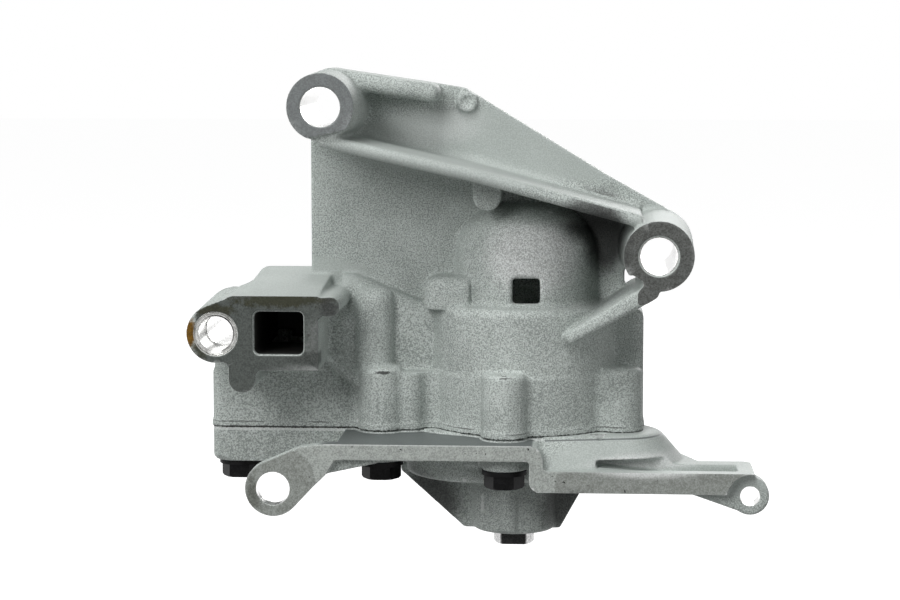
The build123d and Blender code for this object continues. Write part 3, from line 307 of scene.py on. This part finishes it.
def cast_skin(node, name, bores, planes, inner):
    """Skin of a casting made from its CAD node.

    The solid is filled with cells of skin_voxel and wrapped again, then every point moves towards
    the mean of its neighbours, which rounds edges and fills corners as a mould does. Machined
    planes, bores and the inner spaces go back to the solid's own surface. Large flat faces set the
    shading at their edges.
    """
    solid = merged_copy(node, name + "_solid")
    piece = merged_copy(node, name)
    wrap = piece.modifiers.new("wrap", "REMESH")
    wrap.mode = "VOXEL"
    wrap.voxel_size = skin_voxel
    settled(piece)
    kept = machined_points(piece.data, bores, planes, inner)
    piece.vertex_groups.new(name="machined").add(np.flatnonzero(kept).tolist(), 1.0, "REPLACE")
    piece.vertex_groups.new(name="cast").add(np.flatnonzero(~kept).tolist(), 1.0, "REPLACE")
    relax = piece.modifiers.new("relax", "SMOOTH")
    relax.factor = 0.5
    relax.iterations = skin_smoothing
    relax.vertex_group = "cast"
    seat = piece.modifiers.new("seat", "SHRINKWRAP")
    seat.target = solid
    seat.vertex_group = "machined"
    thin = piece.modifiers.new("thin", "DECIMATE")
    thin.ratio = min(1.0, skin_triangles / (2 * len(piece.data.polygons)))
    settled(piece)
    bpy.data.objects.remove(solid)
    piece.vertex_groups.clear()
    piece.data.polygons.foreach_set("use_smooth", np.ones(len(piece.data.polygons), bool))
    piece.data.set_sharp_from_angle(angle=crease_angle)
    level = piece.modifiers.new("level", "WEIGHTED_NORMAL")
    level.keep_sharp = True
    settled(piece)
    return piece


housing_planes = ((1, block_face), (2, joint_height), (1, suction_face))
# X, Y, lowest and highest Z and radius of the room for the rotors
housing_inner = ((2.6, 0.0, 35.0, 60.5, 24.5),)
housing = cast_skin("pump_housing", "housing_casting", housing_bores, housing_planes, housing_inner)

# Colours of the cast metal, of what lies on it and of the painted light and shade, and the sizes of its grain
# in millimetres
blasted_light = (0.56, 0.605, 0.58, 1.0)
blasted_dark = (0.26, 0.285, 0.27, 1.0)
# Worn edges that also carry a painted highlight, then painted shade for hollows
wear_and_highlight = (0.74, 0.76, 0.75, 1.0)
hollow_painted_shade = (0.10, 0.105, 0.095, 1.0)
bore_silver = (0.90, 0.90, 0.89, 1.0)
# Painted shade for the inside of the ports
port_painted_shade = (0.012, 0.012, 0.011, 1.0)
oil_brown = (0.17, 0.085, 0.008, 1.0)
oil_olive = (0.036, 0.036, 0.018, 1.0)
# Painted light
painted_light_tone = (0.86, 0.88, 0.87, 1.0)
# Soot, used mostly as painted shade
soot_and_painted_shade = (0.05, 0.052, 0.05, 1.0)
joint_dirt = (0.02, 0.02, 0.018, 1.0)
# A darker tone for the level plane at the height smooth_z
level_plane_tone = (0.13, 0.145, 0.142, 1.0)
milled_shade = (0.06, 0.067, 0.062, 1.0)
ring_shade = (0.45, 0.44, 0.42, 1.0)
grain_size = 0.36
grain_bump = 0.7
grain_height = 0.14 * mm
speckle_size = 0.8
speck_size = 1.5
mottle_size = 1.7
cloud_size = 13.0
face_spread = 0.2
ring_pitch = 2.9
rim_highlight_drop = 0.75
crack_rise = 1.5
metal_gloss = 0.2


def cast_aluminium(name, bores, faces, stains_and_painted_light, painted_shade_rooms, calm_places, smooth_z):
    """Blasted aluminium that is grainy and pale, with smoother and darker machined places.

    The grain is fine noise that both shades the colour and lifts the surface. The machined faces
    lie in the block plane, and each has its own tone round its middle, because the cutter and
    the oil left them different. Raised edges are rubbed bright and also carry a painted highlight,
    and hollows are darkened as painted shade. Patches add stains and painted light and shade, the
    rooms behind the ports are painted dark as shade, and a painted highlight runs along the rim.
    """
    material = bpy.data.materials.new(name)
    build = Shader(material)
    spot, x, y, z = build.place()
    grain = build.noise(spot, grain_size, 0.0, 0.5)
    speckle = build.noise(spot, speckle_size, 3.0, 0.7)
    cloud = build.noise(spot, cloud_size, 3.0, 0.5, 0.6)
    mottle = build.noise(spot, mottle_size, 4.0, 0.75, 0.2)
    waver = mottle - 0.5
    tone = build.ramp(grain * 0.7 + speckle * 0.3 + (cloud - 0.5) * 0.25, 0.30, 0.70)
    calm = 0.0
    for middle_x, middle_z, wide, tall in calm_places:
        within = build.ramp(build.oval(x, z, middle_x, middle_z, wide, tall), 1.0, 0.8)
        calm = build.math("MAXIMUM", calm, within)
    tone = tone * (1.0 - calm * 0.65) + calm * 0.36
    blasted = build.mix(tone, blasted_dark, blasted_light)

    # Machined faces, each with its tone and blotches, then dark specks and a darker tone on the level plane at
    # the height smooth_z
    milled = blasted
    for middle_x, middle_z, reach, light, dark in faces:
        blotches = build.ramp(mottle * 0.5 + grain * 0.5, 0.5 - face_spread, 0.5 + face_spread)
        on_face = build.ramp(build.oval(x, z, middle_x, middle_z) + waver * 2.0, reach + 1.0, reach)
        milled = build.mix(on_face, milled, build.mix(blotches, dark, light))
    specks = build.ramp(build.noise(spot, speck_size, 2.0, 0.6), 0.29, 0.25)
    milled = build.mix(specks, milled, joint_dirt)
    skin = build.node("NewGeometry")
    rise = build.out(build.node("SeparateXYZ", Vector=build.out(skin, "Normal")), "Z")
    upright = build.ramp(build.math("ABSOLUTE", rise), 0.8, 0.5)
    not_on_top = build.ramp(rise, 0.8, 0.55)
    machined = build.near(y, block_face, 0.22, 0.08)
    smooth = build.near(z, smooth_z, 0.3, 0.1) * (1.0 - upright)
    base = build.mix(machined, blasted, milled)
    base = build.mix(smooth * (1.0 - machined), base, level_plane_tone)

    # Edges that are worn and also carry a painted highlight, and hollows darkened as painted shade
    bend = build.out(skin, "Pointiness") + (speckle - 0.5) * 0.03
    base = build.mix(build.ramp(bend, 0.535, 0.60) * 0.6, base, wear_and_highlight)
    base = build.mix(build.ramp(bend, 0.465, 0.40) * 0.7, base, hollow_painted_shade)

    # Stains and patches of painted light and shade, whose grain shows through them
    for middle_x, middle_z, wide, tall, depth, ragged, strength, patch_colour in stains_and_painted_light:
        patch = build.ramp(build.oval(x, z, middle_x, middle_z, wide, tall) + waver * ragged, 1.0, 0.45)
        patch = patch * build.ramp(y, depth + 2.0, depth - 2.0) * not_on_top * strength
        shaded = tuple(part * 0.5 for part in patch_colour[:3]) + (1.0,)
        base = build.mix(patch, base, build.mix(tone, shaded, patch_colour))

    # The joint: a painted highlight along the top edge of the cover's rim, a dark ragged seam and a finer
    # broken line above it
    rim_highlight = build.near(z, joint_height - rim_highlight_drop, 0.5, 0.3) * upright
    base = build.mix(rim_highlight * 0.55, base, wear_and_highlight)
    seam = build.near(z + (speckle - 0.5) * 0.9, joint_height, 0.46, 0.16) * build.ramp(mottle, 0.30, 0.45)
    crack = build.near(z + waver * 0.6, joint_height + crack_rise, 0.30, 0.05)
    crack = crack * build.ramp(cloud, 0.40, 0.62) * 0.75
    base = build.mix(build.math("MAXIMUM", seam, crack) * upright, base, joint_dirt)

    # Painted shade in the rooms behind the ports and the dome window, which begins a little way in
    for low, high in painted_shade_rooms:
        inside = build.ramp(y, low[1], low[1] + 2.0) * build.ramp(y, high[1] + 0.1, high[1] - 0.1)
        for value, axis in ((x, 0), (z, 2)):
            inside = inside * build.ramp(value, low[axis] - 0.1, low[axis] + 0.1)
            inside = inside * build.ramp(value, high[axis] + 0.1, high[axis] - 0.1)
        base = build.mix(inside, base, port_painted_shade)

    # Bored walls, with the rings that the tool left
    bright = 0.0
    for bore_x, bore_z, radius, front, back in bores:
        inside = build.ramp(build.oval(x, z, bore_x, bore_z), radius + 0.35, radius + 0.15)
        along = build.ramp(y, front + 0.1, front + 0.5) * build.ramp(y, back + 0.2, back + 0.1)
        bright = build.math("MAXIMUM", bright, inside * along)
    turned = build.ramp(build.math("PINGPONG", y + waver * 0.3, ring_pitch), 0.05, 0.45)
    base = build.mix(bright, base, build.mix(turned, ring_shade, bore_silver))

    plain = build.math("MAXIMUM", build.math("MAXIMUM", machined, bright), smooth)
    rough = 0.58 - machined * 0.16 - bright * 0.36 - smooth * 0.14 + (grain - 0.5) * 0.16
    height = (grain * 0.6 + speckle * 0.4) * (1.0 - plain * 0.92) * (1.0 - calm * 0.6)
    lift = build.node("Bump", Strength=grain_bump, Distance=grain_height, Height=height)
    build.surface(build.out(build.node(
        "BsdfPrincipled", Base_Color=base, Roughness=rough, Metallic=bright * 0.95 + machined * 0.15,
        Specular_IOR_Level=metal_gloss, Normal=build.out(lift))))
    return material


housing_faces = (
    # X and Z of a machined face's middle, its reach, and its light and dark tone
    (-66.0, 66.0, 22.0, (0.088, 0.098, 0.091, 1.0), (0.050, 0.056, 0.052, 1.0)),
    (-52.8, 129.5, 14.0, (0.19, 0.205, 0.205, 1.0), (0.13, 0.138, 0.138, 1.0)),
    (41.1, 88.5, 16.0, (0.125, 0.131, 0.125, 1.0), (0.058, 0.060, 0.056, 1.0)),
)
housing_stains_and_painted_light = (
    # X, Z, half width, half height and last Y of a stain, a patch of painted light or a patch of painted shade,
    # then its raggedness, strength and colour
    (-64.0, 75.6, 17.0, 2.6, -31.0, 1.6, 0.85, oil_olive),
    (-89.8, 66.0, 2.6, 5.4, -31.0, 1.3, 1.0, oil_brown),
    (-83.0, 72.5, 8.0, 2.4, -31.0, 1.6, 0.85, oil_olive),
    (-87.5, 61.0, 3.5, 4.0, -31.0, 1.3, 0.7, oil_olive),
    (-50.6, 73.6, 3.2, 3.0, -31.0, 1.3, 0.75, soot_and_painted_shade),
    (-56.0, 59.3, 8.0, 2.8, -31.0, 0.3, 0.75, milled_shade),
    # Painted light: a paler patch on the dome's front and one on the arm beside the top lug
    (6.0, 87.0, 17.0, 15.0, 5.0, 0.3, 0.75, painted_light_tone),
    (-27.0, 124.0, 22.0, 9.0, 5.0, 0.3, 0.4, painted_light_tone),
    # Painted shadow of the dome and the lip on the wall right of the dome
    (26.5, 92.0, 8.0, 16.0, 5.0, 0.3, 0.95, soot_and_painted_shade),
    (21.0, 98.0, 10.0, 9.5, 5.0, 0.3, 0.85, soot_and_painted_shade),
    (-36.9, 53.0, 3.0, 0.7, -12.0, 1.6, 0.9, joint_dirt),
    (-1.5, 53.7, 2.2, 0.6, -12.0, 1.6, 0.9, joint_dirt),
)
housing_calm = (
    # X and Z of a calmer place on the cast skin, with its half width and half height
    (-66.0, 80.0, 26.0, 6.0),
    (5.0, 118.0, 62.0, 12.0),
    (41.1, 88.5, 14.0, 14.0),
)
housing_painted_shade_rooms = (
    # Lowest and highest corners of a room painted dark as shade: the outlet port, then the dome window
    ((-72.2, -38.0, 59.9), (-57.4, 9.0, 72.9)),
    ((0.0, -17.5, 73.0), (7.9, 0.0, 80.4)),
)
housing.data.materials.append(cast_aluminium(
    "housing_aluminium", housing_bores, housing_faces, housing_stains_and_painted_light, housing_painted_shade_rooms, housing_calm,
    joint_height))
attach(housing, "pump_body")
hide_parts("pump_housing")


# Bearing bushes
# Two plain bronze bushes are pressed into the housing's hub and the cover's neck, and the drive
# shaft turns in them.
scratch_depth = 0.05 * mm


def dress(node, material):
    """Gives a CAD node its finished material."""
    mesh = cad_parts[node].data
    mesh.materials.clear()
    mesh.materials.append(material)


def plain_metal(name, dark, light, size, roughness, metallic, bump, specular=metal_gloss):
    """Worked metal: soft clouds between two colours, with fine scratches of one size."""
    material = bpy.data.materials.new(name)
    build = Shader(material)
    spot = build.place()[0]
    cloud = build.noise(spot, size * 6, 3.0, 0.6, 0.8)
    fine = build.noise(spot, size, 2.0, 0.6)
    base = build.mix(build.ramp(cloud * 0.6 + fine * 0.4, 0.35, 0.65), dark, light)
    lift = build.node("Bump", Strength=bump, Distance=scratch_depth, Height=fine)
    build.surface(build.out(build.node(
        "BsdfPrincipled", Base_Color=base, Roughness=roughness + (cloud - 0.5) * 0.2, Metallic=metallic,
        Specular_IOR_Level=specular, Normal=build.out(lift))))
    return material


bearing_bronze = plain_metal(
    "bearing_bronze", (0.34, 0.22, 0.09, 1.0), (0.55, 0.38, 0.18, 1.0), 0.8, 0.38, 0.9, 0.2)
dress("upper_shaft_bush", bearing_bronze)
dress("lower_shaft_bush", bearing_bronze)


# Drive shaft, its pin and the dowels
# They are of ground steel, and so are the relief piston, its seat and the thrust washer. The shaft
# is bright round the outside, and the flats of its tang are coloured nearly black.
ground_steel = plain_metal(
    "ground_steel", (0.30, 0.30, 0.29, 1.0), (0.58, 0.58, 0.57, 1.0), 0.5, 0.26, 0.95, 0.15)
for node in ("rotor_drive_pin", "cover_dowels", "relief_piston", "relief_spring_seat",
             "shaft_thrust_washer", "left_ring_dowel"):
    dress(node, ground_steel)

tang_top = 6.5
flat_half_width = 3.6
shaft_dark_flats = bpy.data.materials.new("shaft_dark_flats")
build = Shader(shaft_dark_flats)
spot, x, y, z = build.place()
scratches = build.noise(spot, 0.5, 3.0, 0.6)
flat_darkening = build.near(x, 0.0, flat_half_width + 0.5, flat_half_width - 0.3)
flat_darkening = flat_darkening * build.ramp(z, tang_top + 0.2, tang_top - 0.1)
ground = build.mix(build.ramp(scratches, 0.35, 0.65), colour(0.34), colour(0.62))
dark_flat_colour = build.mix(build.ramp(scratches, 0.35, 0.7), colour(0.006), colour(0.03))
build.surface(build.out(build.node(
    "BsdfPrincipled", Base_Color=build.mix(flat_darkening, ground, dark_flat_colour), Roughness=0.24 + flat_darkening * 0.3,
    Metallic=0.95 - flat_darkening * 0.9, Specular_IOR_Level=0.15)))
dress("drive_shaft", shaft_dark_flats)


# Rotors
# Both rotors are pressed from steel powder and sintered, so they are dull and slightly pored.
sintered_steel = plain_metal(
    "sintered_steel", (0.12, 0.115, 0.11, 1.0), (0.30, 0.29, 0.28, 1.0), 0.35, 0.48, 0.85, 0.4)
dress("inner_rotor", sintered_steel)
dress("outer_rotor", sintered_steel)


# Retaining ring and relief spring
# Tempered spring steel with a dark heat colour. The spring stands on its seat in the cover, and
# its coils close up as the relief piston comes down on it.
spring_steel = plain_metal(
    "spring_steel", (0.05, 0.05, 0.055, 1.0), (0.16, 0.16, 0.17, 1.0), 0.4, 0.34, 0.9, 0.2)
dress("shaft_retaining_ring", spring_steel)
valve_spring = merged_copy("relief_spring", "valve_spring")
valve_spring.data.materials.append(spring_steel)
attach(valve_spring, "pump_body")
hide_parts("relief_spring")
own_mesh(valve_spring)


# Pump cover
# A second casting of the same metal closes the housing. Its tray and ears reach forward to the
# engine block, and its underside carries the bearing neck. Its rows are laid out as the housing's.
cover_bores = (
    (-66.8, 22.3, 4.75, -38.0, -33.0),
    (67.2, 21.0, 2.75, -34.5, -28.0),
)
cover_planes = ((1, block_face), (2, joint_height))
cover_inner = ((0.0, 0.0, 3.0, 37.0, 9.2),)
cover = cast_skin("pump_cover", "cover_casting", cover_bores, cover_planes, cover_inner)
cover_faces = (
    (0.0, 28.0, 60.0, (0.42, 0.45, 0.425, 1.0), (0.25, 0.265, 0.25, 1.0)),
    (-66.8, 22.3, 12.0, (0.30, 0.32, 0.30, 1.0), (0.17, 0.18, 0.165, 1.0)),
    (45.0, 22.0, 32.0, (0.31, 0.33, 0.31, 1.0), (0.19, 0.20, 0.185, 1.0)),
)
cover_stains_and_painted_light = (
    (-72.5, 20.5, 3.0, 6.5, -31.0, 1.3, 0.5, oil_olive),
    # Painted shade on the gussets and the front of the bearing neck under the tray
    (-26.0, 12.0, 14.0, 14.0, 60.0, 0.3, 0.9, soot_and_painted_shade),
    (17.5, 12.0, 13.0, 13.0, 60.0, 0.3, 0.85, soot_and_painted_shade),
    (-3.0, 13.0, 14.0, 12.0, 60.0, 0.3, 0.22, soot_and_painted_shade),
    # Painted light in the shaded groove on the cover's right arm
    (38.0, 29.0, 20.0, 3.4, 5.0, 0.3, 0.8, painted_light_tone),
)
cover_calm = ((46.0, 29.0, 40.0, 10.0),)
tray_height = 35.2
cover.data.materials.append(cast_aluminium(
    "cover_aluminium", cover_bores, cover_faces, cover_stains_and_painted_light, (), cover_calm, tray_height))
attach(cover, "pump_body")
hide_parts("pump_cover")


# Cover bolts
# Eight flanged hexagon bolts with a black oxide finish, screwed up through the cover.
black_oxide = plain_metal(
    "black_oxide", (0.003, 0.003, 0.003, 1.0), (0.012, 0.012, 0.0125, 1.0), 0.6, 0.34, 0.0, 0.35, 0.06)
dress("cover_bolts", black_oxide)
dress("relief_plug", black_oxide)


# Plug washer and core plug
# A soft aluminium washer seals the relief plug. The core plug is a passivated steel cup.
soft_aluminium = plain_metal(
    "soft_aluminium", (0.50, 0.51, 0.52, 1.0), (0.68, 0.69, 0.70, 1.0), 0.5, 0.34, 0.9, 0.15)
dress("relief_plug_washer", soft_aluminium)
passivated_cup = plain_metal(
    "passivated_cup", (0.36, 0.30, 0.12, 1.0), (0.60, 0.55, 0.34, 1.0), 1.0, 0.30, 0.9, 0.15)
dress("core_plug", passivated_cup)


# Suction seal ring
# A moulded rubber ring lies in the face groove of the suction flange.
seal_rubber = bpy.data.materials.new("seal_rubber")
build = Shader(seal_rubber)
spot = build.place()[0]
dust = build.noise(spot, 1.2, 3.0, 0.6)
dusty_black = build.mix(build.ramp(dust, 0.35, 0.7), colour(0.010), (0.028, 0.028, 0.027, 1.0))
build.surface(build.out(build.node("BsdfPrincipled", Base_Color=dusty_black, Roughness=0.55 + dust * 0.15)))
dress("inlet_seal_ring", seal_rubber)
